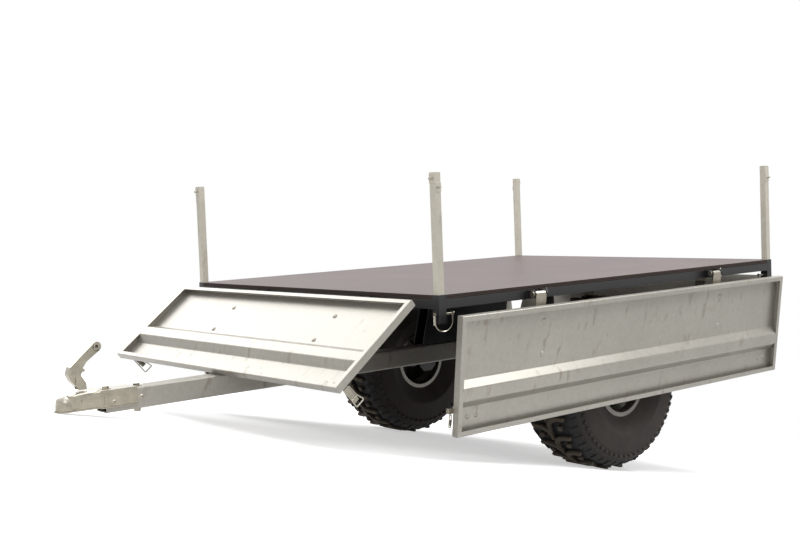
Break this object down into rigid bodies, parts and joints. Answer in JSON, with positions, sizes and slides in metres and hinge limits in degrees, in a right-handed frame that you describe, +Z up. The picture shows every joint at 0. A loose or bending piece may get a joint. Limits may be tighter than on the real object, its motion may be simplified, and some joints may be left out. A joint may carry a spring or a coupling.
{
  "type": "off-road flatbed trailer",
  "caption": "Small off-road flatbed trailer with drop sides, corner posts, fat tyres and a ball coupler, parked nose down",
  "frame": {"origin": "bottom centre of the parked trailer's bounding box, on the floor", "axes": "+X forward to the coupler, +Y to the trailer's left, +Z up from the level floor; the deck is 12.3 degrees nose down"},
  "size_m": [2.7954, 1.6094, 1.3019],
  "materials": {
    "plywood_film": "film-faced, satin",
    "black_paint": "satin",
    "galvanised": "galvanised, dull",
    "zinc_plated": "zinc plated",
    "wheel_silver": "silver paint",
    "hub_paint": "satin",
    "tyre_rubber": "matt rubber"
  },
  "bodies": {
    "chassis": {"deck_board": "plywood_film", "left_rail": "black_paint", "right_rail": "black_paint", "front_rail": "black_paint", "rear_rail": "black_paint", "cross_rails": "black_paint", "bearers": "black_paint", "axle_uprights": "black_paint", "pedestal": "black_paint", "axle_beam": "black_paint", "stub_axle_left": "black_paint", "stub_axle_right": "black_paint", "drawbar": "galvanised", "coupler_body": "zinc_plated", "coupler_lever": "zinc_plated", "socket_front_left": "black_paint", "post_front_left": "galvanised", "socket_front_right": "black_paint", "post_front_right": "galvanised", "socket_rear_left": "black_paint", "post_rear_left": "galvanised", "socket_rear_right": "black_paint", "post_rear_right": "galvanised", "lock_pins": "zinc_plated", "hinge_pins": "zinc_plated"},
    "wheel_left": {"tyre_left": "tyre_rubber", "rim_left": "wheel_silver", "hub_left": "hub_paint"},
    "wheel_right": {"tyre_right": "tyre_rubber", "rim_right": "wheel_silver", "hub_right": "hub_paint"},
    "panel_left": {"left_panel": "galvanised", "left_straps": "zinc_plated", "left_latches": "zinc_plated"},
    "panel_right": {"right_panel": "galvanised", "right_straps": "zinc_plated", "right_latches": "zinc_plated"},
    "panel_front": {"front_panel": "galvanised", "front_straps": "zinc_plated", "front_latches": "zinc_plated"},
    "panel_rear": {"rear_panel": "galvanised", "rear_straps": "zinc_plated", "rear_latches": "zinc_plated"}
  },
  "joints": [
    {"name": "wheel_left_spin", "type": "hinge", "parent": "chassis", "child": "wheel_left", "pos_m": [-0.50254, 0.569, 0.325], "axis": [0, 1, 0], "continuous": true},
    {"name": "wheel_right_spin", "type": "hinge", "parent": "chassis", "child": "wheel_right", "pos_m": [-0.50254, -0.569, 0.325], "axis": [0, 1, 0], "continuous": true},
    {"name": "panel_left_hinge", "type": "hinge", "parent": "chassis", "child": "panel_left", "pos_m": [-0.40569, 0.757, 0.69278], "axis": [-0.9766, 0, 0.215], "range_deg": [-186.9, 0]},
    {"name": "panel_right_hinge", "type": "hinge", "parent": "chassis", "child": "panel_right", "pos_m": [-0.40569, -0.757, 0.69278], "axis": [0.9766, 0, -0.215], "range_deg": [-186.9, 0]},
    {"name": "panel_front_hinge", "type": "hinge", "parent": "chassis", "child": "panel_front", "pos_m": [0.53625, 0, 0.4854], "axis": [0, 1, 0], "range_deg": [-127.4, 0]},
    {"name": "panel_rear_hinge", "type": "hinge", "parent": "chassis", "child": "panel_rear", "pos_m": [-1.34763, 0, 0.90017], "axis": [0, -1, 0], "range_deg": [-200.8, 10]}
  ]
}
